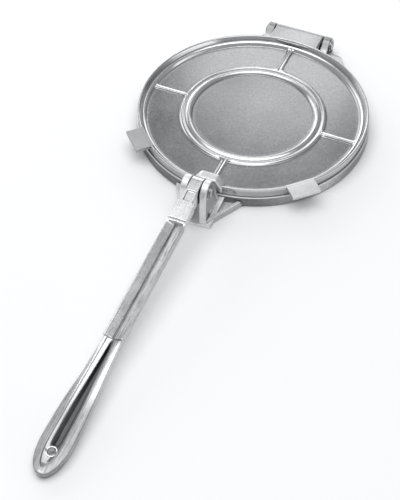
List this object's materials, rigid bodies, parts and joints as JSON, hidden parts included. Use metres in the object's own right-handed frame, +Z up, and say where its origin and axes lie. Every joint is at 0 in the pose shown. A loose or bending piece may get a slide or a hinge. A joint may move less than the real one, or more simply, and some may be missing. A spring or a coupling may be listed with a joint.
{
  "type": "hand press",
  "caption": "Cast-aluminium hand press: two round plates hinged at the rear and a long front lever that swings over to squeeze them together.",
  "frame": {"origin": "centre of the base plate's underside, on the table", "axes": "+Z up, +Y towards the rear hinge, -Y along the lever to the front, +X to the right seen from the lever; both hinge pins lie along X"},
  "size_m": [0.202, 0.5159, 0.0424],
  "materials": {
    "base_aluminium": "bare tumbled casting",
    "lid_aluminium": "bare casting, sanded panel, polished ribs",
    "lever_aluminium": "bare tumbled casting",
    "pin_steel": "plain steel rod"
  },
  "bodies": {
    "base": {"base_plate": "base_aluminium", "lever_pin": "pin_steel", "hinge_pin": "pin_steel", "pin_washers": "pin_steel"},
    "lid": {"top_plate": "lid_aluminium"},
    "lever_arm": {"lever": "lever_aluminium"}
  },
  "joints": [
    {"name": "lid_hinge", "type": "hinge", "parent": "base", "child": "lid", "pos_m": [0, 0.1155, 0.0105], "axis": [-1, 0, 0], "range_deg": [0, 178]},
    {"name": "lever_hinge", "type": "hinge", "parent": "base", "child": "lever_arm", "pos_m": [0, -0.1215, 0.033], "axis": [-1, 0, 0], "range_deg": [0, 185.92]}
  ]
}
